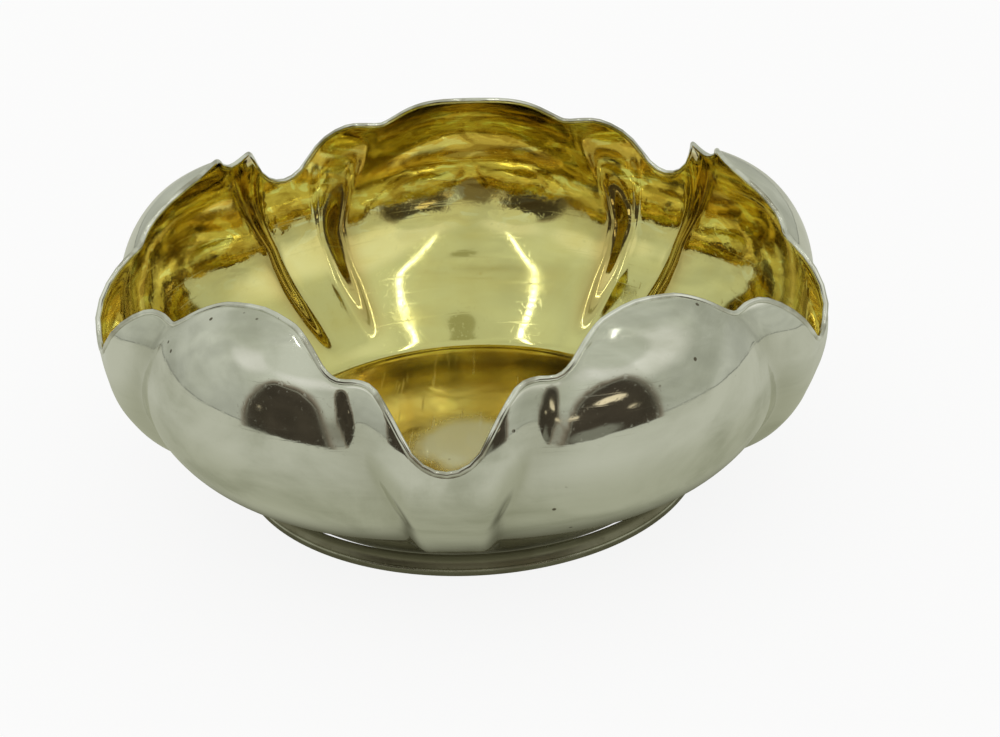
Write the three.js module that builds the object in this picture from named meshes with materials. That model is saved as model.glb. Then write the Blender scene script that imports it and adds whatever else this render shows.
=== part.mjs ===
import * as THREE from 'three';

// Lobed silver gilt bowl on a low foot, in millimetres and degrees, standing on z = 0.

// Plan of the bowl
const PETALS = 5;
const FIRST_PETAL_AZIMUTH = 90;
const HALF_PETAL = 180 / PETALS;

// Silver sheet, gilding, and the clearance left between pieces that meet
const SHEET = 0.9;
const GILDING = 0.3;
const SEAT_GAP = 0.2;

// Foot: a plain band at the base, and a collar with a hollow side between it and the body
const FOOT_RADIUS = 74;
const FOOT_BAND_HEIGHT = 2.4;
const FOOT_BAND_WIDTH = 3;
const FOOT_BAND_ROUNDING = 0.7;
const COLLAR_SETBACK = 0.6;
const COLLAR_WIDTH = 3.2;
const COLLAR_HOLLOW = 1;

// Floor, and the wall's meridian before it is lobed: a cone, a round arc up to the belly, a leaning arc above it
const FLOOR_HEIGHT = 3.2;
const FLOOR_SETBACK = 6;
const CONE_LENGTH = 31;
const CONE_SLOPE = 39.5;
const LOWER_ARC_RADIUS = 43;
const LEAN_DEPTH = 34.5;
const LEAN_HEIGHT = 35;

// Rim of half a petal, from its peak to the bottom of the notch: angle from the petal's middle,
// and length up the wall from the floor's edge
const HALF_RIM = [
  [0, 107.5],
  [7, 105],
  [10, 102.5],
  [13, 98.5],
  [16, 93.5],
  [18.5, 91.3],
  [22, 91.5],
  [25, 89.5],
  [28.5, 82],
  [32, 72.8],
  [HALF_PETAL, 69.8],
];

// Lobing: how far each form stands out from the meridian a third and two thirds of the way up, and at full length
const LOBED_LENGTH = 113;
const MAIN_LOBE = [1, 14, -1];
const SIDE_LOBE = [2, 5, -5];
const CHANNEL = [3.5, 12.5, 2];

// The valley between main lobe and side lobe runs into the channel on its way down to the foot
const VALLEY_ANGLE_AT_TOP = 13;
const VALLEY_DRIFT = 26;
const CHANNEL_ANGLE = 32.5;
const NARROWEST_SIDE_LOBE = 4.5;
const MAIN_LOBE_FLATNESS = 1.2;
const SIDE_LOBE_SKEW = 0.9;

// Rim wire
const RIM_WIRE_RADIUS = 0.9;

// Length of wall that stays plain where the foot is soldered on
const PLAIN_LENGTH = 7;

// Fineness of the faces
const COLUMNS_PER_HALF = 12;
const WALL_ROWS = 10;
const WIRE_SIDES = 6;
const FOOT_SEGMENTS = 60;
const CORNER_STEPS = 3;
const HOLLOW_STEPS = 4;

const floorEdgeRadius = FOOT_RADIUS - FLOOR_SETBACK;
const collarRadius = FOOT_RADIUS - COLLAR_SETBACK;
const slope = THREE.MathUtils.degToRad(CONE_SLOPE);
const lowerArcTurn = Math.PI / 2 - slope;
const lowerArcLength = LOWER_ARC_RADIUS * lowerArcTurn;
const coneTop = new THREE.Vector2(
  floorEdgeRadius + CONE_LENGTH * Math.cos(slope),
  FLOOR_HEIGHT + CONE_LENGTH * Math.sin(slope),
);
const arcCentre = new THREE.Vector2(
  coneTop.x - LOWER_ARC_RADIUS * Math.sin(slope),
  coneTop.y + LOWER_ARC_RADIUS * Math.cos(slope),
);

// Point of the plain meridian at a length up the wall from the floor's edge, with its outward normal
function meridian(length) {
  if (length <= CONE_LENGTH) {
    const run = new THREE.Vector2(Math.cos(slope), Math.sin(slope));
    const normal = new THREE.Vector2(Math.sin(slope), -Math.cos(slope));
    return { point: run.multiplyScalar(length - CONE_LENGTH).add(coneTop), normal };
  }
  const climbed = length - CONE_LENGTH;
  if (climbed <= lowerArcLength) {
    const turn = climbed / LOWER_ARC_RADIUS - lowerArcTurn;
    const normal = new THREE.Vector2(Math.cos(turn), Math.sin(turn));
    return { point: normal.clone().multiplyScalar(LOWER_ARC_RADIUS).add(arcCentre), normal };
  }
  const lean = (climbed - lowerArcLength) / LEAN_HEIGHT;
  const point = new THREE.Vector2(
    arcCentre.x + LOWER_ARC_RADIUS - LEAN_DEPTH * (1 - Math.cos(lean)),
    arcCentre.y + LEAN_HEIGHT * Math.sin(lean),
  );
  const normal = new THREE.Vector2(Math.cos(lean) / LEAN_DEPTH, Math.sin(lean) / LEAN_HEIGHT);
  return { point, normal: normal.normalize() };
}

// Share of the lobed length that is behind a length up the wall
function shareOfLobed(length) {
  return Math.max(length - PLAIN_LENGTH, 0) / (LOBED_LENGTH - PLAIN_LENGTH);
}

// Smooth course up the wall that starts from nothing where the wall is plain
function course([low, high, full], share) {
  const rest = 1 - share;
  return 3 * low * share * rest * rest + 3 * high * share * share * rest + full * share ** 3;
}

// How far the wall stands out from the plain meridian at an angle from the petal's middle
function lobing(angle, length) {
  const share = shareOfLobed(length);
  const off = Math.abs(angle);
  const drifted = VALLEY_ANGLE_AT_TOP + VALLEY_DRIFT * (1 - share);
  const valley = Math.min(drifted, CHANNEL_ANGLE - NARROWEST_SIDE_LOBE);
  const overMain = Math.min(off / valley, 1);
  const overSide = THREE.MathUtils.clamp((off - valley) / (CHANNEL_ANGLE - valley), 0, 1);
  const main = course(MAIN_LOBE, share) * Math.cos((Math.PI / 2) * overMain ** MAIN_LOBE_FLATNESS);
  const side = course(SIDE_LOBE, share) * Math.sin(Math.PI * overSide ** SIDE_LOBE_SKEW);
  const channel = course(CHANNEL, share) * THREE.MathUtils.smoothstep(overSide, 0, 1);
  return main + side + channel;
}

// Point of the wall at a length up a column, a depth inside its outer face
function wallPoint(column, length, depth) {
  const { point, normal } = meridian(length);
  point.addScaledVector(normal, lobing(column.angle, length) - depth);
  const azimuth = THREE.MathUtils.degToRad(column.azimuth);
  return new THREE.Vector3(point.x * Math.cos(azimuth), point.x * Math.sin(azimuth), point.y);
}

// Rim of half a petal as steps of angle and length, mirrored past both ends so that it runs on smoothly
function halfRim() {
  const [second] = HALF_RIM.slice(1);
  const [beforeLast] = HALF_RIM.slice(-2);
  const controls = [[-second[0], second[1]], ...HALF_RIM, [2 * HALF_PETAL - beforeLast[0], beforeLast[1]]];
  const curve = new THREE.SplineCurve(controls.map(([angle, length]) => new THREE.Vector2(angle, length)));
  const spans = controls.length - 1;
  const steps = [];
  for (let i = 0; i <= COLUMNS_PER_HALF; i += 1) {
    steps.push(curve.getPoint((1 + ((spans - 2) * i) / COLUMNS_PER_HALF) / spans));
  }
  return steps;
}

// Columns of the wall all round the bowl
function wallColumns() {
  const half = halfRim().map(({ x, y }) => ({ angle: x, rim: y }));
  const mirrored = half.slice(1).reverse().map(({ angle, rim }) => ({ angle: -angle, rim }));
  const petal = [...mirrored, ...half.slice(0, -1)];
  const round = [];
  for (let i = 0; i < PETALS; i += 1) {
    const middle = FIRST_PETAL_AZIMUTH + 2 * HALF_PETAL * i;
    round.push(...petal.map((column) => ({ ...column, azimuth: middle + column.angle })));
  }
  return round;
}

const columns = wallColumns();

// Two triangles for each quad between one ring of points and the next
function bandFaces(from, to, size, cut) {
  const faces = [];
  for (let i = 0; i < size; i += 1) {
    const j = (i + 1) % size;
    if (cut === 'rising') {
      faces.push(from + i, from + j, to + j, from + i, to + j, to + i);
    } else {
      faces.push(from + i, from + j, to + i, from + j, to + j, to + i);
    }
  }
  return faces;
}

// Fan between a ring of points and a point on the axis
function fanFaces(centre, ring, size, facesUp) {
  const faces = [];
  for (let i = 0; i < size; i += 1) {
    const j = (i + 1) % size;
    faces.push(centre, ring + (facesUp ? i : j), ring + (facesUp ? j : i));
  }
  return faces;
}

function solid(name, points, faces, material) {
  const geometry = new THREE.BufferGeometry();
  geometry.setAttribute('position', new THREE.Float32BufferAttribute(points.flatMap((p) => p.toArray()), 3));
  geometry.setIndex(faces);
  geometry.computeVertexNormals();
  const mesh = new THREE.Mesh(geometry, material);
  mesh.name = name;
  return mesh;
}

// Length of a row of points up a column: the floor's edge, the top of the plain wall, then even steps to the rim
function rowLength(row, rim) {
  if (row === 0) return 0;
  return PLAIN_LENGTH + ((rim - PLAIN_LENGTH) * (row - 1)) / (WALL_ROWS - 1);
}

// Shell of floor and wall between two depths inside the outer face
function shell(name, outerDepth, innerDepth, material) {
  const size = columns.length;
  const outerRows = [];
  const innerRows = [];
  for (let row = 0; row <= WALL_ROWS; row += 1) {
    outerRows.push(columns.map((column) => wallPoint(column, rowLength(row, column.rim), outerDepth)));
    innerRows.unshift(columns.map((column) => wallPoint(column, rowLength(row, column.rim), innerDepth)));
  }
  const rows = [...outerRows, ...innerRows];
  const faces = [];
  for (let row = 0; row < rows.length - 1; row += 1) {
    const cut = row <= WALL_ROWS ? 'rising' : 'falling';
    faces.push(...bandFaces(row * size, (row + 1) * size, size, cut));
  }
  const underside = new THREE.Vector3(0, 0, rows[0][0].z);
  const topside = new THREE.Vector3(0, 0, rows[rows.length - 1][0].z);
  const points = [...rows.flat(), underside, topside];
  faces.push(...fanFaces(points.length - 2, 0, size, false));
  faces.push(...fanFaces(points.length - 1, (rows.length - 1) * size, size, true));
  return solid(name, points, faces, material);
}

// Round wire along the rim, seated just past the edge of sheet and gilding
function rimWire(material) {
  const middle = (SHEET + SEAT_GAP + GILDING) / 2;
  const edge = columns.map((column) => wallPoint(column, column.rim, middle));
  const points = [];
  edge.forEach((point, i) => {
    const before = edge[(i + edge.length - 1) % edge.length];
    const after = edge[(i + 1) % edge.length];
    const along = after.clone().sub(before).normalize();
    const past = wallPoint(columns[i], columns[i].rim + RIM_WIRE_RADIUS, middle).sub(point);
    past.addScaledVector(along, -past.dot(along)).normalize();
    const across = new THREE.Vector3().crossVectors(along, past);
    const centre = point.clone().addScaledVector(past, RIM_WIRE_RADIUS + SEAT_GAP);
    for (let side = 0; side < WIRE_SIDES; side += 1) {
      const turn = (2 * Math.PI * side) / WIRE_SIDES;
      const out = past.clone().multiplyScalar(Math.cos(turn)).addScaledVector(across, Math.sin(turn));
      points.push(centre.clone().addScaledVector(out, RIM_WIRE_RADIUS));
    }
  });
  const faces = [];
  for (let i = 0; i < edge.length; i += 1) {
    const next = (i + 1) % edge.length;
    faces.push(...bandFaces(i * WIRE_SIDES, next * WIRE_SIDES, WIRE_SIDES, 'rising'));
  }
  return solid('rim_wire', points, faces, material);
}

// Ring turned from a closed outline of radii and heights
function turnedRing(name, outline, material) {
  const geometry = new THREE.LatheGeometry([...outline, outline[0]], FOOT_SEGMENTS);
  geometry.rotateX(Math.PI / 2);
  const mesh = new THREE.Mesh(geometry, material);
  mesh.name = name;
  return mesh;
}

// Plain band that the bowl stands on, rounded at both outer edges
function footBand(material) {
  const inside = FOOT_RADIUS - FOOT_BAND_WIDTH;
  const cornerRadius = FOOT_RADIUS - FOOT_BAND_ROUNDING;
  const outline = new THREE.Path();
  outline.moveTo(inside, 0);
  outline.lineTo(cornerRadius, 0);
  outline.absarc(cornerRadius, FOOT_BAND_ROUNDING, FOOT_BAND_ROUNDING, -Math.PI / 2, 0);
  const upperCorner = FOOT_BAND_HEIGHT - FOOT_BAND_ROUNDING;
  outline.absarc(cornerRadius, upperCorner, FOOT_BAND_ROUNDING, 0, Math.PI / 2);
  outline.lineTo(inside, FOOT_BAND_HEIGHT);
  return turnedRing('foot_band', outline.getPoints(CORNER_STEPS), material);
}

// Underside of the body above the foot, lowered by the clearance
function seatHeight(radius) {
  return FLOOR_HEIGHT + (radius - floorEdgeRadius) * Math.tan(slope) - SEAT_GAP / Math.cos(slope);
}

// Collar between band and body, its outer side hollowed
function footCollar(material) {
  const inside = collarRadius - COLLAR_WIDTH;
  const top = seatHeight(collarRadius);
  const outline = new THREE.Path();
  outline.moveTo(inside, FOOT_BAND_HEIGHT);
  outline.lineTo(collarRadius, FOOT_BAND_HEIGHT);
  const waist = collarRadius - 2 * COLLAR_HOLLOW;
  outline.quadraticCurveTo(waist, (FOOT_BAND_HEIGHT + top) / 2, collarRadius, top);
  outline.lineTo(inside, seatHeight(inside));
  return turnedRing('foot_collar', outline.getPoints(HOLLOW_STEPS), material);
}

const silver = new THREE.MeshStandardMaterial({ color: 0xc9cac3, roughness: 0.08, metalness: 1 });
const wireSilver = new THREE.MeshStandardMaterial({ color: 0xd0d1ca, roughness: 0.1, metalness: 1 });
const collarSilver = new THREE.MeshStandardMaterial({ color: 0x9d9c8c, roughness: 0.2, metalness: 1 });
const bandSilver = new THREE.MeshStandardMaterial({ color: 0xbcbdb4, roughness: 0.14, metalness: 1 });
const gilt = new THREE.MeshStandardMaterial({ color: 0xd9c45a, roughness: 0.1, metalness: 1 });

const bowl = new THREE.Group();
bowl.name = 'lobed_bowl';
bowl.add(shell('bowl_body', 0, SHEET, silver));
bowl.add(shell('gilt_lining', SHEET + SEAT_GAP, SHEET + SEAT_GAP + GILDING, gilt));
bowl.add(rimWire(wireSilver));
bowl.add(footCollar(collarSilver));
bowl.add(footBand(bandSilver));

export default bowl;
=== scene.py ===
import math

import bmesh
import bpy
from mathutils import Matrix, Vector


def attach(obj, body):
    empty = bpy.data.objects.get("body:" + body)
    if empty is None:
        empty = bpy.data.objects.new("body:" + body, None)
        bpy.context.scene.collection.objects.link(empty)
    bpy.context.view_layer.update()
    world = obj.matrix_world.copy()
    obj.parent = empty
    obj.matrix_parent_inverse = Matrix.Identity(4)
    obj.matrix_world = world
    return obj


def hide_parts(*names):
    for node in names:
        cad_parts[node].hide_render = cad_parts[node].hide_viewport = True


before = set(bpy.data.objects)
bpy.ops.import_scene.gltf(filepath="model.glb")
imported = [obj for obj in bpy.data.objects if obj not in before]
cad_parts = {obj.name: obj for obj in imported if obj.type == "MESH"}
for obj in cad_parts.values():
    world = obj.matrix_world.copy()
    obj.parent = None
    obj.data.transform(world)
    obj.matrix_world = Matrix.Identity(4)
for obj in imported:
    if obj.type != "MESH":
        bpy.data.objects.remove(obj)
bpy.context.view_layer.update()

# ---------------------------------------------------------------------------------------------------------
# Body: one sheet of silver, raised over stakes into a round bowl, then lobed into five petals with a narrow
# side lobe along each edge, a flat channel below each notch, and a rim sawn to the line of the petals. It is
# polished to a mirror that years of cleaning have dulled with fine scratches. Its colour is darkened with
# painted shade near the foot and along the valleys between the lobes.

MM = 0.001
PETALS = 5
FIRST_PETAL_AZIMUTH = 90
HALF_PETAL = 180 / PETALS
SHEET = 0.9
WORN_OFF = 0.2
FLOOR_HEIGHT = 3.2
FLOOR_EDGE_RADIUS = 68
CONE_LENGTH = 31
CONE_SLOPE = math.radians(40)
LOWER_ARC_RADIUS = 43
LEAN_DEPTH = 34.5
LEAN_HEIGHT = 35
HALF_RIM = [
    (0, 107.2), (7, 105), (10, 102.5), (13, 98.5), (16, 93.5), (18.5, 91.3),
    (22, 91.5), (25, 89.5), (28.5, 82), (32, 72.8), (HALF_PETAL, 69.8),
]
PLAIN_LENGTH = 7
LOBED_LENGTH = 113
MAIN_LOBE = (0, 13.2, -1)
SIDE_LOBE = (2, 5, -5)
CHANNEL = (3.5, 12.5, 2)
VALLEY_ANGLE_AT_TOP = 13
VALLEY_DRIFT = 26
CHANNEL_ANGLE = 32.5
NARROWEST_SIDE_LOBE = 4.5
SIDE_LOBE_SKEW = 0.9
VALLEY_WIDTH = 2.8
VALLEY_FADE_LENGTH = 12
COLUMNS_PER_HALF = 24
WALL_ROWS = 44
PLAIN_ROWS = 2
FLOOR_RINGS = (66, 60, 45, 25, 8)
MERGE_DISTANCE = 0.01


def meridian(length):
    """Radius, height and outward normal of the unlobed wall at a length up from the floor's edge."""
    lower_arc_turn = math.pi / 2 - CONE_SLOPE
    cone_top = Vector((FLOOR_EDGE_RADIUS, FLOOR_HEIGHT))
    cone_top += CONE_LENGTH * Vector((math.cos(CONE_SLOPE), math.sin(CONE_SLOPE)))
    cone_normal = Vector((math.sin(CONE_SLOPE), -math.cos(CONE_SLOPE)))
    centre = cone_top - LOWER_ARC_RADIUS * cone_normal
    climbed = length - CONE_LENGTH
    if climbed <= 0:
        return cone_top + climbed * Vector((math.cos(CONE_SLOPE), math.sin(CONE_SLOPE))), cone_normal
    if climbed <= LOWER_ARC_RADIUS * lower_arc_turn:
        turn = climbed / LOWER_ARC_RADIUS - lower_arc_turn
        normal = Vector((math.cos(turn), math.sin(turn)))
        return centre + LOWER_ARC_RADIUS * normal, normal
    lean = (climbed - LOWER_ARC_RADIUS * lower_arc_turn) / LEAN_HEIGHT
    inward = LEAN_DEPTH * (1 - math.cos(lean))
    point = centre + Vector((LOWER_ARC_RADIUS - inward, LEAN_HEIGHT * math.sin(lean)))
    return point, Vector((math.cos(lean) / LEAN_DEPTH, math.sin(lean) / LEAN_HEIGHT)).normalized()


def course(heights, share):
    """Smooth course up the wall that starts from nothing where the wall is plain."""
    low, high, full = heights
    rest = 1 - share
    return 3 * low * share * rest * rest + 3 * high * share * share * rest + full * share ** 3


def lobing(angle, length):
    """How far the wall stands out from the unlobed one at an angle from the petal's middle."""
    share = max(length - PLAIN_LENGTH, 0) / (LOBED_LENGTH - PLAIN_LENGTH)
    off, valley = abs(angle), valley_at(length)
    over_main = min(off / valley, 1)
    over_side = min(max((off - valley) / (CHANNEL_ANGLE - valley), 0), 1)
    main = course(MAIN_LOBE, share) * math.cos(math.pi / 2 * over_main)
    side = course(SIDE_LOBE, share) * math.sin(math.pi * over_side ** SIDE_LOBE_SKEW)
    return main + side + course(CHANNEL, share) * over_side * over_side * (3 - 2 * over_side)


def valley_at(length):
    """Angle of the valley between main lobe and side lobe at a length up the wall."""
    share = max(length - PLAIN_LENGTH, 0) / (LOBED_LENGTH - PLAIN_LENGTH)
    return min(VALLEY_ANGLE_AT_TOP + VALLEY_DRIFT * (1 - share), CHANNEL_ANGLE - NARROWEST_SIDE_LOBE)


def in_valley(angle, length):
    """Share of the valley's bottom at an angle from the petal's middle and a length up the wall."""
    off = (abs(angle) - valley_at(length)) / VALLEY_WIDTH
    fade = min(max((length - PLAIN_LENGTH) / VALLEY_FADE_LENGTH, 0), 1)
    return math.exp(-off * off) * fade


def rim_curve(place):
    """Angle and length of the rim at a place along half a petal, from 0 at its peak to 1 in the notch."""
    before, after = (-HALF_RIM[1][0], HALF_RIM[1][1]), (2 * HALF_PETAL - HALF_RIM[-2][0], HALF_RIM[-2][1])
    marks = [Vector(mark) for mark in (before, *HALF_RIM, after)]
    spans = len(HALF_RIM) - 1
    i = min(int(place * spans), spans - 1)
    t = place * spans - i
    a, b, c, d = marks[i:i + 4]
    return b + 0.5 * t * (c - a + t * (2 * a - 5 * b + 4 * c - d + t * (3 * b - a - 3 * c + d)))


half = [rim_curve(i / COLUMNS_PER_HALF) for i in range(COLUMNS_PER_HALF + 1)]
petal = [(-angle, rim) for angle, rim in reversed(half[1:])] + [tuple(step) for step in half[:-1]]
columns = []
for i in range(PETALS):
    middle = FIRST_PETAL_AZIMUTH + 2 * HALF_PETAL * i
    columns += [(math.radians(middle + angle), angle, rim) for angle, rim in petal]


def wall_point(column, length, depth):
    """Point of the wall at a length up a column, a depth inside its outer face, in metres."""
    azimuth, angle, _ = column
    point, normal = meridian(length)
    point += (lobing(angle, length) - depth) * normal
    return MM * Vector((point.x * math.cos(azimuth), point.x * math.sin(azimuth), point.y))


def row_length(row, rim):
    """Length up a column at which a row of faces starts."""
    if row < PLAIN_ROWS:
        return PLAIN_LENGTH * row / PLAIN_ROWS
    return PLAIN_LENGTH + (rim - PLAIN_LENGTH) * (row - PLAIN_ROWS) / (WALL_ROWS - PLAIN_ROWS)


def raise_bowl(name, outer_depth, inner_depth):
    """Closed shell of floor and wall: a section is turned into a round bowl, whose wall is then lobed."""
    section = [(ring, 0, outer_depth) for ring in reversed(FLOOR_RINGS)]
    section += [(FLOOR_EDGE_RADIUS, row, outer_depth) for row in range(WALL_ROWS + 1)]
    section += [(FLOOR_EDGE_RADIUS, row, inner_depth) for row in range(WALL_ROWS, -1, -1)]
    section += [(ring, 0, inner_depth) for ring in FLOOR_RINGS]
    bpy.ops.object.select_all(action="DESELECT")
    bpy.ops.mesh.primitive_circle_add(vertices=len(section), radius=MM)
    bowl = bpy.context.object
    bowl.name = bowl.data.name = name
    bpy.ops.object.mode_set(mode="EDIT")
    work = bmesh.from_edit_mesh(bowl.data)
    number = work.verts.layers.int.new("place")
    work.verts.ensure_lookup_table()
    ends = {0, len(section) - 1}
    work.edges.remove(next(edge for edge in work.edges if {v.index for v in edge.verts} == ends))
    for vertex, (radius, row, depth) in zip(work.verts, section):
        vertex[number] = vertex.index
        vertex.co = MM * Vector((radius, 0, FLOOR_HEIGHT + depth + row))
    bmesh.update_edit_mesh(bowl.data)
    bpy.ops.mesh.select_all(action="SELECT")
    bpy.ops.mesh.spin(steps=len(columns), angle=2 * math.pi, center=(0, 0, 0), axis=(0, 0, 1))
    bpy.ops.mesh.select_all(action="SELECT")
    bpy.ops.mesh.remove_doubles(threshold=MM * MERGE_DISTANCE)
    work = bmesh.from_edit_mesh(bowl.data)
    valley = work.verts.layers.float.new("valley")
    number = work.verts.layers.int["place"]
    step = 2 * math.pi / len(columns)
    for vertex in work.verts:
        radius, row, depth = section[vertex[number]]
        azimuth = math.atan2(vertex.co.y, vertex.co.x)
        column = columns[round(azimuth / step) % len(columns)]
        length = row_length(row, column[2])
        edge = wall_point(column, length, depth)
        narrowing = radius / FLOOR_EDGE_RADIUS
        vertex.co = Vector((edge.x * narrowing, edge.y * narrowing, edge.z))
        vertex[valley] = in_valley(column[1], length)
    bpy.ops.object.mode_set(mode="OBJECT")
    bowl.data.attributes.remove(bowl.data.attributes["place"])
    bpy.ops.object.modifier_add(type="SUBSURF")
    bowl.modifiers[-1].levels = bowl.modifiers[-1].render_levels = 1
    bpy.ops.object.modifier_apply(modifier=bowl.modifiers[-1].name)
    bpy.ops.object.mode_set(mode="EDIT")
    bpy.ops.mesh.select_all(action="DESELECT")
    bpy.ops.mesh.select_non_manifold()
    bpy.ops.mesh.fill_holes(sides=0)
    bpy.ops.mesh.select_all(action="DESELECT")
    bpy.ops.mesh.select_face_by_sides(number=4, type="GREATER", extend=False)
    bpy.ops.mesh.poke()
    bpy.ops.mesh.select_all(action="SELECT")
    bpy.ops.mesh.normals_make_consistent(inside=False)
    bpy.ops.object.mode_set(mode="OBJECT")
    bpy.ops.object.shade_smooth()
    return bowl


body = raise_bowl("body", WORN_OFF, SHEET)
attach(body, "root")
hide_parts("bowl_body")


def add(tree, kind, values=None, **settings):
    """New shader node, its settings and the values of its sockets."""
    node = tree.nodes.new("ShaderNode" + kind)
    for name, setting in settings.items():
        setattr(node, name, setting)
    for name, value in (values or {}).items():
        node.inputs[name].default_value = value
    return node


def calculate(tree, operation, first, second):
    """Math node on two values, each a socket or a number."""
    node = add(tree, "Math", operation=operation)
    for socket, value in zip(node.inputs, (first, second)):
        if isinstance(value, (int, float)):
            socket.default_value = value
        else:
            tree.links.new(value, socket)
    return node.outputs[0]


def spread(tree, value, start, end, low=0.0, high=1.0):
    """Value that runs smoothly from low at the start to high at the end."""
    node = add(tree, "MapRange", {"To Min": low, "To Max": high}, interpolation_type="SMOOTHSTEP")
    for name, limit in (("From Min", start), ("From Max", end)):
        if isinstance(limit, (int, float)):
            node.inputs[name].default_value = limit
        else:
            tree.links.new(limit, node.inputs[name])
    tree.links.new(value, node.inputs["Value"])
    return node.outputs["Result"]


def noise(tree, place, scale, detail=2.0, distortion=0.0):
    """Cloudy value between 0 and 1 with features of one part in scale of a metre."""
    node = add(tree, "TexNoise", {"Detail": detail, "Distortion": distortion})
    if isinstance(scale, (int, float)):
        node.inputs["Scale"].default_value = scale
    else:
        tree.links.new(scale, node.inputs["Scale"])
    tree.links.new(place, node.inputs["Vector"])
    return node.outputs["Fac"]


def stretched(tree, place, turn, scale):
    """Place turned and stretched, for marks that run one way."""
    node = add(tree, "Mapping", {"Rotation": turn, "Scale": scale})
    tree.links.new(place, node.inputs["Vector"])
    return node.outputs["Vector"]


def blended(tree, share, first, second):
    """Colour that goes from the first to the second with a share."""
    node = add(tree, "Mix", data_type="RGBA")
    tree.links.new(share, node.inputs[0])
    for socket, colour in ((node.inputs[6], first), (node.inputs[7], second)):
        if isinstance(colour, tuple):
            socket.default_value = (*colour, 1)
        else:
            tree.links.new(colour, socket)
    return node.outputs[2]


def effect(name, inputs, outputs):
    """Empty node group with value sockets, and its inside ends."""
    group = bpy.data.node_groups.new(name, "ShaderNodeTree")
    for socket, value in inputs.items():
        entry = group.interface.new_socket(socket, in_out="INPUT", socket_type="NodeSocketFloat")
        entry.default_value = value
    for socket in outputs:
        group.interface.new_socket(socket, in_out="OUTPUT", socket_type="NodeSocketFloat")
    return group, group.nodes.new("NodeGroupInput").outputs, group.nodes.new("NodeGroupOutput").inputs


def put_in(tree, group, values=None):
    """The node group placed in a material with its own values."""
    node = add(tree, "Group", node_tree=group)
    for name, value in (values or {}).items():
        node.inputs[name].default_value = value
    return node.outputs


def place_on_piece(tree):
    """Place on the piece in metres, from the middle of the table's plane under the bowl."""
    return add(tree, "TexCoord").outputs["Object"]


def along_axis(tree, place, axis):
    """One of the three coordinates of a place."""
    node = add(tree, "SeparateXYZ")
    tree.links.new(place, node.inputs[0])
    return node.outputs[axis]


def distance_off(tree, place):
    """Distance of a place from the middle."""
    node = add(tree, "VectorMath", operation="LENGTH")
    tree.links.new(place, node.inputs[0])
    return node.outputs["Value"]


# Hand polish: hairline scratches in two directions, cloudy smears, shallow hollows of the hammer, a few pits
hand_polish, given, result = effect(
    "hand_polish",
    {"Cloud Scale": 30.0, "Hollow Scale": 45.0, "Pit Scale": 160.0},
    ("Scratches", "Clouds", "Hollows", "Pits"),
)
place = place_on_piece(hand_polish)
one_way = noise(hand_polish, stretched(hand_polish, place, (0.05, 0.03, 0), (35, 35, 1500)), 1.0, 1.0)
other_way = noise(hand_polish, stretched(hand_polish, place, (1.1, -0.5, 2.2), (900, 60, 900)), 1.0, 1.0)
hairlines = calculate(hand_polish, "MAXIMUM", spread(hand_polish, one_way, 0.62, 0.74),
                      spread(hand_polish, other_way, 0.62, 0.74))
smear = noise(hand_polish, place, given["Cloud Scale"], 5.0, 0.9)
streak = noise(hand_polish, stretched(hand_polish, place, (0.2, 0.3, 0.5), (20, 70, 110)), 1.0, 4.0, 0.5)
clouds = calculate(hand_polish, "MULTIPLY", spread(hand_polish, smear, 0.36, 0.66),
                   spread(hand_polish, streak, 0.3, 0.65, 0.35, 1.0))
hollows = noise(hand_polish, place, given["Hollow Scale"], 3.0, 0.4)
pit = add(hand_polish, "TexVoronoi", {"Randomness": 1.0})
hand_polish.links.new(given["Pit Scale"], pit.inputs["Scale"])
hand_polish.links.new(place, pit.inputs["Vector"])
sparse = spread(hand_polish, noise(hand_polish, place, 24.0, 1.0), 0.56, 0.62)
pits = calculate(hand_polish, "MULTIPLY", spread(hand_polish, pit.outputs["Distance"], 0.09, 0.05), sparse)
for name, value in (("Scratches", hairlines), ("Clouds", clouds), ("Hollows", hollows), ("Pits", pits)):
    hand_polish.links.new(value, result[name])

# Shade and dulling near the foot: a share that thins out upwards from the foot, with an uneven upper edge.
# It darkens the colour as painted shade and makes the metal rougher.
foot_shade_and_dulling, given, result = effect("foot_shade_and_dulling", {"Full Height": 0.0, "Clear Height": 0.03}, ("Shade And Dulling",))
place = place_on_piece(foot_shade_and_dulling)
ragged = calculate(foot_shade_and_dulling, "MULTIPLY", noise(foot_shade_and_dulling, place, 35.0, 4.0), 0.008)
height = calculate(foot_shade_and_dulling, "SUBTRACT", along_axis(foot_shade_and_dulling, place, "Z"), 0.004)
height = calculate(foot_shade_and_dulling, "ADD", height, ragged)
shade_and_dulling = spread(foot_shade_and_dulling, height, given["Clear Height"], given["Full Height"])
foot_shade_and_dulling.links.new(shade_and_dulling, result["Shade And Dulling"])


def metal(piece, name):
    """New metal for a piece, its node tree and its shader."""
    material = bpy.data.materials.new(name)
    material.use_nodes = True
    shader = material.node_tree.nodes["Principled BSDF"]
    shader.inputs["Metallic"].default_value = 1
    piece.data.materials.clear()
    piece.data.materials.append(material)
    return material.node_tree, shader


def relief(tree, shader, height, depth):
    """Shallow relief of a height between 0 and 1 and a depth in metres."""
    bump = add(tree, "Bump", {"Strength": 1.0, "Distance": depth})
    tree.links.new(height, bump.inputs["Height"])
    tree.links.new(bump.outputs["Normal"], shader.inputs["Normal"])


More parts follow.
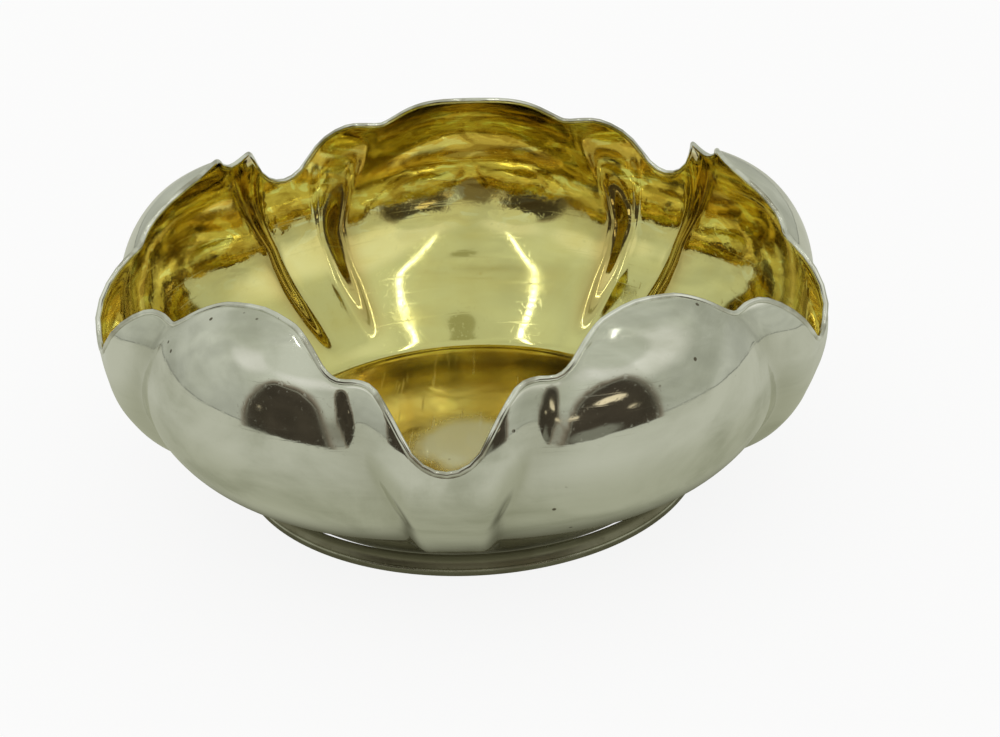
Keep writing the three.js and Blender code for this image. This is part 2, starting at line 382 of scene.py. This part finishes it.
def polished(tree, shader, colour, marks, mirror, depth, shade_and_dulling=0.0, hollowed=1.0):
    """Colour, roughness and relief of a polished metal from its marks and a share that makes it rougher."""
    rough = spread(tree, marks["Clouds"], 0.0, 1.0, mirror, mirror + 0.07)
    for mark, share in ((marks["Scratches"], 0.12), (shade_and_dulling, 0.14)):
        rough = calculate(tree, "ADD", rough, calculate(tree, "MULTIPLY", mark, share))
    tree.links.new(colour, shader.inputs["Base Color"])
    tree.links.new(rough, shader.inputs["Roughness"])
    height = calculate(tree, "MULTIPLY", marks["Hollows"], hollowed)
    for mark, share in ((marks["Pits"], 0.25), (marks["Scratches"], 0.02)):
        height = calculate(tree, "SUBTRACT", height, calculate(tree, "MULTIPLY", mark, share))
    relief(tree, shader, height, depth)


tree, shader = metal(body, "polished_silver")
marks = put_in(tree, hand_polish, {"Cloud Scale": 26.0, "Hollow Scale": 42.0, "Pit Scale": 120.0})
shade_and_dulling = put_in(tree, foot_shade_and_dulling, {"Full Height": 0.004, "Clear Height": 0.03})["Shade And Dulling"]
colour = blended(tree, marks["Clouds"], (0.81, 0.815, 0.74), (0.55, 0.56, 0.47))
# Painted shade along the valleys between the lobes: the colour is darkened there
valley = add(tree, "Attribute", attribute_name="valley").outputs["Fac"]
colour = blended(tree, calculate(tree, "MULTIPLY", valley, 0.35), colour, (0.50, 0.50, 0.40))
# Painted shade: the silver's colour is darkened towards the foot
colour = blended(tree, calculate(tree, "MULTIPLY", shade_and_dulling, 0.7), colour, (0.34, 0.32, 0.22))
colour = blended(tree, marks["Pits"], colour, (0.16, 0.14, 0.10))
polished(tree, shader, colour, marks, 0.055, 0.00016, shade_and_dulling)

# ---------------------------------------------------------------------------------------------------------
# Gilding: a thin layer of pale gold laid on the whole inside of the bowl, up to the rim wire. Under the rim
# it carries a painted reflection in deep amber with patches of painted highlight, the floor has painted
# glints and the valleys painted shade, and it is rubbed thin in the floor's middle, where silver shows.

GILDING_CLEARANCE = 0.2
GILDING = 0.3
RUBBED_RADIUS = 0.019
RUBBED_SOFTNESS = 0.012
gilding = raise_bowl("gilding", SHEET + GILDING_CLEARANCE, SHEET + GILDING_CLEARANCE + GILDING)
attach(gilding, "root")
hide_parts("gilt_lining")
tree, shader = metal(gilding, "pale_gilding")
marks = put_in(tree, hand_polish, {"Cloud Scale": 20.0, "Hollow Scale": 30.0, "Pit Scale": 90.0})
place = place_on_piece(tree)
off_axis = add(tree, "VectorMath", {1: (1, 1, 0)}, operation="MULTIPLY")
tree.links.new(place, off_axis.inputs[0])
radius = distance_off(tree, off_axis.outputs["Vector"])
ragged = calculate(tree, "MULTIPLY", noise(tree, place, 60.0, 5.0), 0.016)
rubbed = calculate(tree, "ADD", radius, ragged)
rubbed = spread(tree, rubbed, RUBBED_RADIUS + RUBBED_SOFTNESS, RUBBED_RADIUS)
upper = spread(tree, calculate(tree, "ADD", along_axis(tree, place, "Z"), ragged), 0.038, 0.062)
on_floor = spread(tree, radius, 0.068, 0.062)
valley = add(tree, "Attribute", attribute_name="valley").outputs["Fac"]
# Painted glints on the floor: small bright yellow spots
painted_glints = calculate(tree, "MULTIPLY", spread(tree, noise(tree, place, 110.0, 3.0, 0.4), 0.5, 0.72), on_floor)
colour = blended(tree, marks["Clouds"], (0.77, 0.745, 0.335), (0.73, 0.67, 0.25))
# Painted reflection under the rim: deep amber, with patches of painted highlight in pale yellow
patches = noise(tree, stretched(tree, place, (0, 0, 0), (75, 75, 170)), 1.0, 2.0, 1.2)
painted_reflection = blended(tree, spread(tree, patches, 0.36, 0.5), (0.60, 0.44, 0.10), (0.88, 0.72, 0.22))
painted_reflection = blended(tree, spread(tree, patches, 0.56, 0.62), painted_reflection, (1.0, 0.98, 0.50))
colour = blended(tree, upper, colour, painted_reflection)
colour = blended(tree, on_floor, colour, (0.80, 0.69, 0.32))
# The painted glints are laid on the floor's colour
colour = blended(tree, calculate(tree, "MULTIPLY", painted_glints, 0.7), colour, (0.94, 0.87, 0.42))
# Painted shade: the gold is darkened along the lines of the valleys
colour = blended(tree, calculate(tree, "MULTIPLY", valley, 0.75), colour, (0.54, 0.40, 0.12))
colour = blended(tree, calculate(tree, "MULTIPLY", rubbed, 0.95), colour, (0.88, 0.88, 0.70))
colour = blended(tree, marks["Pits"], colour, (0.35, 0.26, 0.08))
dulled = calculate(tree, "MULTIPLY", rubbed, 2.2)
dulled = calculate(tree, "ADD", dulled, calculate(tree, "MULTIPLY", on_floor, 0.5))
hollowed = spread(tree, calculate(tree, "MAXIMUM", upper, on_floor), 0.0, 1.0, 0.35, 2.4)
polished(tree, shader, colour, marks, 0.055, 0.0002, dulled, hollowed)

# ---------------------------------------------------------------------------------------------------------
# Rim wire: a round silver wire, bent to the line of the rim and soldered over its edge all the way round, so
# that it reads as a thin bright bead.

RIM_WIRE_RADIUS = 0.9
RIM_WIRE_FINENESS = 4
RIM_WIRE_PAST_EDGE = 0.45
rim_middle = (SHEET + GILDING_CLEARANCE + GILDING) / 2
curve = bpy.data.curves.new("rim_wire_line", "CURVE")
curve.dimensions = "3D"
curve.bevel_depth = MM * RIM_WIRE_RADIUS
curve.bevel_resolution = RIM_WIRE_FINENESS
line = curve.splines.new("POLY")
line.points.add(len(columns) - 1)
line.use_cyclic_u = True
for point, column in zip(line.points, columns):
    point.co = (*wall_point(column, column[2] + RIM_WIRE_PAST_EDGE, rim_middle), 1)
wire = bpy.data.objects.new("rim_bead", curve)
bpy.context.collection.objects.link(wire)
bpy.ops.object.select_all(action="DESELECT")
wire.select_set(True)
bpy.context.view_layer.objects.active = wire
bpy.ops.object.convert(target="MESH")
wire = bpy.context.object
bpy.ops.object.shade_smooth()
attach(wire, "root")
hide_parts("rim_wire")
tree, shader = metal(wire, "rim_silver")
marks = put_in(tree, hand_polish, {"Cloud Scale": 60.0, "Hollow Scale": 220.0, "Pit Scale": 400.0})
colour = blended(tree, marks["Clouds"], (0.86, 0.87, 0.80), (0.36, 0.34, 0.26))
colour = blended(tree, marks["Pits"], colour, (0.2, 0.17, 0.11))
polished(tree, shader, colour, marks, 0.045, 0.00003)

# ---------------------------------------------------------------------------------------------------------
# Foot: a collar with a hollow side, soldered under the body, and below it the plain rounded band that the
# bowl stands on. Both are turned rings of silver, given a darker colour than the body as painted shade under
# the bowl, and made rougher.

FOOT_RADIUS = 74
FOOT_BAND_HEIGHT = 2.4
FOOT_BAND_WIDTH = 3
FOOT_BAND_ROUNDING = 0.7
COLLAR_RADIUS = 73.4
COLLAR_WIDTH = 3.2
COLLAR_HOLLOW = 1
COLLAR_HOLLOW_STEPS = 10
SEAT_GAP = 0.2
TURNED_STEPS = 240


def turned_ring(name, outline):
    """Ring turned from a closed outline of radii and heights."""
    bpy.ops.object.select_all(action="DESELECT")
    bpy.ops.mesh.primitive_circle_add(vertices=len(outline), radius=MM)
    ring = bpy.context.object
    ring.name = ring.data.name = name
    for vertex, (radius, height) in zip(ring.data.vertices, outline):
        vertex.co = MM * Vector((radius, 0, height))
    bpy.ops.object.mode_set(mode="EDIT")
    bpy.ops.mesh.select_all(action="SELECT")
    bpy.ops.mesh.spin(steps=TURNED_STEPS, angle=2 * math.pi, center=(0, 0, 0), axis=(0, 0, 1))
    bpy.ops.mesh.select_all(action="SELECT")
    bpy.ops.mesh.remove_doubles(threshold=MM * MERGE_DISTANCE)
    bpy.ops.mesh.normals_make_consistent(inside=False)
    bpy.ops.object.mode_set(mode="OBJECT")
    bpy.ops.object.shade_smooth_by_angle(angle=math.radians(40))
    return ring


def round_corner(centre, start, steps=4):
    """Points of a rounded corner of the band, a quarter turn on from a start angle."""
    turns = [math.radians(start + 90 * i / steps) for i in range(steps + 1)]
    return [(centre[0] + FOOT_BAND_ROUNDING * math.cos(turn), centre[1] + FOOT_BAND_ROUNDING * math.sin(turn))
            for turn in turns]


def seat_height(radius):
    """Height of the body's underside over the foot, less the clearance."""
    rise = (radius - FLOOR_EDGE_RADIUS) * math.tan(CONE_SLOPE)
    return FLOOR_HEIGHT + rise - SEAT_GAP / math.cos(CONE_SLOPE)


def turned_silver(piece, name, bright, dull, full_height, clear_height):
    """Silver with the fine rings of turning, darkened with painted shade and made rougher up to a height."""
    tree, shader = metal(piece, name)
    marks = put_in(tree, hand_polish, {"Cloud Scale": 45.0, "Hollow Scale": 120.0, "Pit Scale": 260.0})
    shade_and_dulling = put_in(tree, foot_shade_and_dulling, {"Full Height": full_height, "Clear Height": clear_height})["Shade And Dulling"]
    place = place_on_piece(tree)
    rings = noise(tree, stretched(tree, place, (0, 0, 0), (20, 20, 2600)), 1.0, 2.0)
    colour = blended(tree, marks["Clouds"], bright, dull)
    # Painted shade: darker up to the given height
    colour = blended(tree, calculate(tree, "MULTIPLY", shade_and_dulling, 0.75), colour, (0.20, 0.18, 0.11))
    colour = blended(tree, spread(tree, rings, 0.55, 0.7, 0.0, 0.3), colour, dull)
    polished(tree, shader, colour, marks, 0.22, 0.00002, shade_and_dulling)


band_edge = FOOT_RADIUS - FOOT_BAND_ROUNDING
band_outline = [(FOOT_RADIUS - FOOT_BAND_WIDTH, 0)] + round_corner((band_edge, FOOT_BAND_ROUNDING), -90)
band_outline += round_corner((band_edge, FOOT_BAND_HEIGHT - FOOT_BAND_ROUNDING), 0)
band_outline += [(FOOT_RADIUS - FOOT_BAND_WIDTH, FOOT_BAND_HEIGHT)]
band = turned_ring("base_band", band_outline)
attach(band, "root")
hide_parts("foot_band")
# The band's silver is given a darker colour than the body's, as painted shade
turned_silver(band, "band_silver", (0.62, 0.62, 0.52), (0.40, 0.39, 0.30), -0.006, 0.004)

collar_top = seat_height(COLLAR_RADIUS)
collar_outline = [(COLLAR_RADIUS - COLLAR_WIDTH, FOOT_BAND_HEIGHT)]
for i in range(COLLAR_HOLLOW_STEPS + 1):
    rise = i / COLLAR_HOLLOW_STEPS
    hollow = 4 * COLLAR_HOLLOW * rise * (1 - rise)
    collar_outline.append((COLLAR_RADIUS - hollow, FOOT_BAND_HEIGHT + (collar_top - FOOT_BAND_HEIGHT) * rise))
collar_outline.append((COLLAR_RADIUS - COLLAR_WIDTH, seat_height(COLLAR_RADIUS - COLLAR_WIDTH)))
collar = turned_ring("hollow_collar", collar_outline)
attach(collar, "root")
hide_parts("foot_collar")
# The collar's silver is darker still, as painted shade under the body's belly
turned_silver(collar, "collar_silver", (0.50, 0.50, 0.40), (0.34, 0.33, 0.25), 0.0, 0.012)

# ---------------------------------------------------------------------------------------------------------
# Studio: a white table, and a light tent that only the polished metal shows: a dome of pale cloth, brighter
# at the top, with two rows of small lamps and two arched openings at the front that show the unlit room.

CAMERA_TURN = math.radians(2.54)
TENT_RADIUS = 1.0
TENT_COLOUR = (0.97, 1, 0.865)


def reflected_only(thing):
    """Part of the studio that is seen in the metal and nowhere else."""
    thing.visible_camera = thing.visible_diffuse = thing.visible_shadow = False
    thing.visible_transmission = thing.visible_volume_scatter = False


def glow(name, strength):
    """New light-giving material, its node tree and its emission."""
    material = bpy.data.materials.new(name)
    material.use_nodes = True
    tree = material.node_tree
    tree.nodes.remove(tree.nodes["Principled BSDF"])
    light = add(tree, "Emission", {"Strength": strength})
    tree.links.new(light.outputs[0], tree.nodes["Material Output"].inputs["Surface"])
    return material, tree, light


def see_past(tree, light, share):
    """The light shows by a share, and what lies behind it shows by the rest."""
    clear = add(tree, "BsdfTransparent")
    both = add(tree, "MixShader")
    tree.links.new(share, both.inputs[0])
    tree.links.new(clear.outputs[0], both.inputs[1])
    tree.links.new(light.outputs[0], both.inputs[2])
    tree.links.new(both.outputs[0], tree.nodes["Material Output"].inputs["Surface"])


def seen_straight(tree):
    """One for light that the camera sees directly, in a mirror or through glass."""
    seen = add(tree, "LightPath")
    either = calculate(tree, "MAXIMUM", seen.outputs["Is Camera Ray"], seen.outputs["Is Glossy Ray"])
    return calculate(tree, "MAXIMUM", either, seen.outputs["Is Transmission Ray"])


def about_bowl(azimuth, distance, height):
    """Point at an azimuth from the camera's side of the bowl, positive to the right."""
    turn = math.radians(azimuth) + CAMERA_TURN
    return Vector((distance * math.sin(turn), -distance * math.cos(turn), height))


def soft_patch(name, azimuth, elevation, width, height, colour, strength, distance=0.8, softness=0.6):
    """Oval patch of light on the tent, facing the bowl, that fades out at its edge."""
    rise = math.radians(elevation)
    middle = about_bowl(azimuth, distance * math.cos(rise), distance * math.sin(rise))
    bpy.ops.object.select_all(action="DESELECT")
    bpy.ops.mesh.primitive_circle_add(vertices=40, radius=1, fill_type="NGON")
    patch = bpy.context.object
    patch.name = name
    facing = (-middle).to_track_quat("Z", "Y").to_matrix().to_4x4()
    patch.matrix_world = Matrix.Translation(middle) @ facing @ Matrix.Diagonal((width / 2, height / 2, 1, 1))
    material, tree, light = glow(name, strength)
    light.inputs["Color"].default_value = (*colour, 1)
    off_middle = distance_off(tree, place_on_piece(tree))
    see_past(tree, light, spread(tree, off_middle, 1.0, 1.0 - softness))
    patch.data.materials.append(material)
    reflected_only(patch)


# White table, which keeps the bowl's shadow, and a white room round it
WHITE_SHARE = 0.88
bpy.ops.object.select_all(action="DESELECT")
bpy.ops.mesh.primitive_plane_add(size=6)
table = bpy.context.object
table.name = "table"
paper = bpy.data.materials.new("white_table")
paper.use_nodes = True
tree = paper.node_tree
tree.nodes["Principled BSDF"].inputs["Base Color"].default_value = (0.78, 0.78, 0.76, 1)
tree.nodes["Principled BSDF"].inputs["Roughness"].default_value = 1
white = add(tree, "Emission", {"Strength": 1.0})
blend = add(tree, "MixShader")
tree.links.new(calculate(tree, "MULTIPLY", seen_straight(tree), WHITE_SHARE), blend.inputs[0])
tree.links.new(tree.nodes["Principled BSDF"].outputs[0], blend.inputs[1])
tree.links.new(white.outputs[0], blend.inputs[2])
tree.links.new(blend.outputs[0], tree.nodes["Material Output"].inputs["Surface"])
table.data.materials.append(paper)

world = bpy.data.worlds.new("pale_room")
bpy.context.scene.world = world
world.use_nodes = True
tree = world.node_tree
background = tree.nodes["Background"]
background.inputs["Color"].default_value = (1, 1, 1, 1)
tree.links.new(spread(tree, seen_straight(tree), 0.0, 1.0, 0.9, 1.0), background.inputs["Strength"])

# Cloth under the bowl as the metal shows it: a disc of painted light in grey-green, with a painted shadow
# that darkens it near the foot
CLOTH_HEIGHT = 0.0002
DIM_CLOTH_RADIUS = 0.105
PALE_CLOTH_RADIUS = 0.2
bpy.ops.object.select_all(action="DESELECT")
bpy.ops.mesh.primitive_circle_add(vertices=64, radius=TENT_RADIUS, fill_type="NGON")
bpy.ops.transform.translate(value=(0, 0, CLOTH_HEIGHT))
bpy.ops.object.transform_apply()
cloth = bpy.context.object
cloth.name = "cloth_under_bowl"
material, tree, light = glow("cloth_under_bowl", 1.0)
away = distance_off(tree, place_on_piece(tree))
shaded = spread(tree, away, MM * FOOT_RADIUS, DIM_CLOTH_RADIUS)
colour = blended(tree, shaded, (0.14, 0.14, 0.095), (0.42, 0.43, 0.33))
colour = blended(tree, spread(tree, away, DIM_CLOTH_RADIUS, PALE_CLOTH_RADIUS), colour, (0.55, 0.56, 0.475))
tree.links.new(colour, light.inputs["Color"])
cloth.data.materials.append(material)
reflected_only(cloth)

# Dome of the tent, with soft folds and a dark seam where it meets the table
bpy.ops.object.select_all(action="DESELECT")
bpy.ops.mesh.primitive_uv_sphere_add(segments=48, ring_count=24, radius=TENT_RADIUS)
tent = bpy.context.object
tent.name = "tent"
material, tree, light = glow("tent_cloth", 1.0)
light.inputs["Color"].default_value = (*TENT_COLOUR, 1)
height = along_axis(tree, place_on_piece(tree), "Z")
folds = noise(tree, place_on_piece(tree), 3.0, 3.0, 0.5)
level = spread(tree, height, 0.0, 0.95, 0.50, 0.66)
level = calculate(tree, "MULTIPLY", level, spread(tree, folds, 0.3, 0.7, 0.86, 1.08))
level = calculate(tree, "MULTIPLY", level, spread(tree, height, 0.004, 0.018, 0.35, 1.0))
tree.links.new(level, light.inputs["Strength"])
tent.data.materials.append(material)
reflected_only(tent)

# Two arched openings at the front, dark inside, with a brownish edge and a thin pale seam
OPENINGS = {"opening_left": (-58, -17), "opening_right": (5, 50)}
ARCH_FULLNESS = 2.6
OPENING_HEIGHT = 0.6
OPENING_DISTANCE = 0.6
material, tree, light = glow("unlit_room", 1.0)
on_opening = add(tree, "TexCoord").outputs["UV"]
across = calculate(tree, "MULTIPLY", along_axis(tree, on_opening, "X"), 2.0)
across = calculate(tree, "ABSOLUTE", calculate(tree, "SUBTRACT", across, 1.0), 0.0)
up = along_axis(tree, on_opening, "Y")
arch = calculate(tree, "POWER", across, ARCH_FULLNESS)
arch = calculate(tree, "ADD", arch, calculate(tree, "POWER", up, ARCH_FULLNESS))
arch = calculate(tree, "POWER", arch, 1 / ARCH_FULLNESS)
room = noise(tree, place_on_piece(tree), 9.0, 3.0)
inside = blended(tree, room, (0.03, 0.025, 0.018), (0.085, 0.07, 0.05))
seam = calculate(tree, "MULTIPLY", spread(tree, arch, 0.80, 0.815), spread(tree, arch, 0.835, 0.82))
edge = blended(tree, spread(tree, arch, 0.82, 0.9), inside, (0.23, 0.19, 0.14))
edge = blended(tree, calculate(tree, "MULTIPLY", seam, 0.5), edge, (0.5, 0.5, 0.4))
tree.links.new(edge, light.inputs["Color"])
see_past(tree, light, spread(tree, arch, 1.0, 0.86))
for name, (left, right) in OPENINGS.items():
    bpy.ops.object.select_all(action="DESELECT")
    bpy.ops.mesh.primitive_grid_add(x_subdivisions=24, y_subdivisions=8, size=1, calc_uvs=True)
    opening = bpy.context.object
    opening.name = name
    for vertex in opening.data.vertices:
        azimuth = left + (right - left) * (vertex.co.x + 0.5)
        vertex.co = about_bowl(azimuth, OPENING_DISTANCE, OPENING_HEIGHT * (vertex.co.y + 0.5))
    opening.data.materials.append(material)
    reflected_only(opening)

# A dim cloth between the openings, lamps in the room, two small shades that keep the rows of lamps off the
# outside of the front petals, a card over the bowl, and soft patches of light on the cloth
soft_patch("dim_cloth", -6, 12, 0.32, 0.5, (0.17, 0.15, 0.11), 1.0, 0.62, 0.5)
warm = (1, 0.86, 0.6)
soft_patch("far_lamp_right", 24, 27, 0.15, 0.05, warm, 1.0, 0.56, 0.3)
soft_patch("far_lamp_middle", 10, 20, 0.05, 0.03, warm, 0.8, 0.56, 0.3)
soft_patch("far_lamp_edge", 34, 17, 0.06, 0.025, warm, 0.8, 0.56, 0.3)
soft_patch("far_lamp_left", -16, 22, 0.02, 0.02, warm, 0.8, 0.56, 0.3)
soft_patch("far_lamp_far_left", -48, 18, 0.015, 0.03, warm, 0.6, 0.56, 0.3)
soft_patch("far_floor", 19, 4, 0.24, 0.12, (0.5, 0.5, 0.4), 0.42, 0.565, 0.5)
soft_patch("shade_left", -35, 54, 0.12, 0.10, TENT_COLOUR, 0.64, 0.25, 0.3)
soft_patch("shade_right", 35, 54, 0.12, 0.10, TENT_COLOUR, 0.64, 0.25, 0.3)
soft_patch("card", 6, 81, 0.09, 0.08, (0.6, 0.6, 0.4), 0.6, 0.7, 0.1)
soft_patch("soft_box_left", -72, 47, 0.45, 0.32, (1, 1, 0.93), 0.82)
soft_patch("soft_box_right", 64, 50, 1.0, 0.66, (1, 1, 0.93), 0.88)
soft_patch("soft_box_front_left", -30, 52, 0.5, 0.3, (1, 1, 0.93), 0.78)
soft_patch("soft_box_front_right", 30, 52, 0.5, 0.3, (1, 1, 0.93), 0.78)

# Two rows of small lamps above the bowl, dimmer towards the front
LAMP_ROW_OFFSET = 0.2
LAMP_ROW_HEIGHT = 0.73
LAMP_ROW_MIDDLE = -0.27
LAMP_ROW_LENGTH = 0.66
LAMP_ROW_WIDTH = 0.018
LAMPS_PER_METRE = 48
material, tree, light = glow("lamp_row", 1.0)
along_row = along_axis(tree, place_on_piece(tree), "Y")
from_lamp = calculate(tree, "FRACT", calculate(tree, "MULTIPLY", along_row, LAMPS_PER_METRE), 0.0)
from_lamp = calculate(tree, "ABSOLUTE", calculate(tree, "SUBTRACT", from_lamp, 0.5), 0.0)
lit = spread(tree, from_lamp, 0.34, 0.22, 0.6, 7.0)
dimmed = spread(tree, along_row, -0.58, -0.45, 0.3, 1.0)
tree.links.new(calculate(tree, "MULTIPLY", lit, dimmed), light.inputs["Strength"])
light.inputs["Color"].default_value = (1, 1, 0.93, 1)
for side in (-1, 1):
    bpy.ops.object.select_all(action="DESELECT")
    middle = (side * LAMP_ROW_OFFSET, LAMP_ROW_MIDDLE, LAMP_ROW_HEIGHT)
    bpy.ops.mesh.primitive_plane_add(size=1, location=middle)
    bpy.ops.transform.resize(value=(LAMP_ROW_WIDTH, LAMP_ROW_LENGTH, 1))
    bpy.ops.object.transform_apply()
    row = bpy.context.object
    row.name = "lamp_row"
    row.data.materials.append(material)
    reflected_only(row)

# Camera, a little above the bowl and a little rolled
CAMERA_TARGET = (0.01035, 0, 0.03026)
CAMERA_RISE = math.radians(27.73)
CAMERA_ROLL = math.radians(2.25)
CAMERA_DISTANCE = 0.71458
LENS = 80.77
target = Matrix.Rotation(CAMERA_TURN, 3, "Z") @ Vector(CAMERA_TARGET)
away = Matrix.Rotation(CAMERA_TURN, 3, "Z") @ Vector((0, -math.cos(CAMERA_RISE), math.sin(CAMERA_RISE)))
camera = bpy.data.objects.new("camera", bpy.data.cameras.new("camera"))
bpy.context.collection.objects.link(camera)
camera.data.lens = LENS
facing = (-away).to_track_quat("-Z", "Y").to_matrix()
camera.matrix_world = Matrix.Translation(target + CAMERA_DISTANCE * away) @ (
    facing @ Matrix.Rotation(-CAMERA_ROLL, 3, "Z")).to_4x4()
bpy.context.scene.camera = camera
bpy.context.scene.view_settings.view_transform = "Standard"
